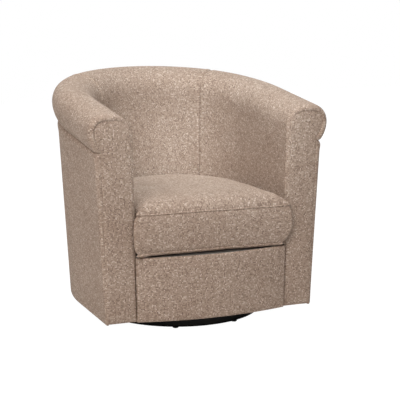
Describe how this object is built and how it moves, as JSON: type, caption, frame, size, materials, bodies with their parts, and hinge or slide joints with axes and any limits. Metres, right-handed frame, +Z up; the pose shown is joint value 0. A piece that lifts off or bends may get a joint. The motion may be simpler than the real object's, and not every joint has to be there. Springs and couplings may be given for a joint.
{
  "type": "swivel barrel chair",
  "caption": "Upholstered barrel armchair with a rolled wraparound rim, a loose seat cushion and a low round swivel base.",
  "frame": {"origin": "on the floor under the swivel axis", "axes": "+Z up along the swivel axis, -Y towards the chair's open front, +X to the right when the front is looked at"},
  "size_m": [0.8, 0.8203, 0.777],
  "materials": {
    "tweed": "matte",
    "black_lacquer": "satin",
    "glide_plastic": "matte",
    "beech": "satin",
    "pine": "matte",
    "plywood": "matte",
    "zinc_steel": "satin",
    "bright_steel": "polished",
    "bearing_plastic": "satin",
    "spring_wire": "satin",
    "clip_steel": "satin",
    "felt": "matte",
    "lining_cloth": "matte",
    "dust_cloth": "matte"
  },
  "bodies": {
    "base": {"base_hoop": "black_lacquer", "base_beam_long": "black_lacquer", "base_beam_cross": "black_lacquer", "base_dowels": "beech", "floor_glides": "glide_plastic", "swivel_lower_plate": "zinc_steel", "lower_race": "zinc_steel", "pivot_bolt": "bright_steel", "pivot_washer": "bright_steel", "pivot_nut": "bright_steel", "lower_plate_screws": "bright_steel"},
    "ball_race": {"ball_cage": "bearing_plastic", "bearing_balls": "bright_steel"},
    "chair_body": {"upper_race": "zinc_steel", "swivel_upper_plate": "zinc_steel", "pivot_bush": "bearing_plastic", "upper_plate_screws": "bright_steel", "swivel_rail_front": "pine", "swivel_rail_rear": "pine", "bottom_rail_left": "pine", "bottom_rail_right": "pine", "bottom_rail_back": "pine", "bottom_rail_front": "pine", "seat_rail_left": "pine", "seat_rail_right": "pine", "seat_rail_back": "pine", "seat_rail_front": "pine", "corner_blocks": "beech", "front_post_left": "pine", "front_post_right": "pine", "rear_post_left": "pine", "rear_post_right": "pine", "back_post_left": "pine", "back_post_middle": "pine", "back_post_right": "pine", "rim_rail_left": "pine", "rim_rail_right": "pine", "rim_rail_back": "pine", "seat_springs": "spring_wire", "spring_clips": "clip_steel", "spring_felt": "felt", "deck_cloth": "lining_cloth", "inside_arm_left": "tweed", "inside_arm_right": "tweed", "inside_back": "tweed", "outside_arm_left": "tweed", "outside_arm_right": "tweed", "outside_back": "tweed", "rim_roll_left": "tweed", "rim_roll_right": "tweed", "rim_roll_back": "tweed", "arm_front_board_left": "plywood", "arm_front_board_right": "plywood", "arm_front_panel_left": "tweed", "arm_front_panel_right": "tweed", "apron_board": "plywood", "front_apron": "tweed", "dust_cover": "dust_cloth"},
    "seat_cushion": {"seat_cushion": "tweed"}
  },
  "joints": [
    {"name": "swivel", "type": "hinge", "parent": "base", "child": "chair_body", "pos_m": [0, 0, 0], "axis": [0, 0, 1], "continuous": true},
    {"name": "ball_race_turn", "type": "hinge", "parent": "base", "child": "ball_race", "pos_m": [0, 0, 0], "axis": [0, 0, 1], "continuous": true},
    {"name": "cushion_lift", "type": "slide", "parent": "chair_body", "child": "seat_cushion", "axis": [0, 0, 1], "range_m": [0, 0.2]}
  ],
  "couplings": [
    {"joint": "ball_race_turn", "follows": "swivel", "ratio": 0.5}
  ]
}
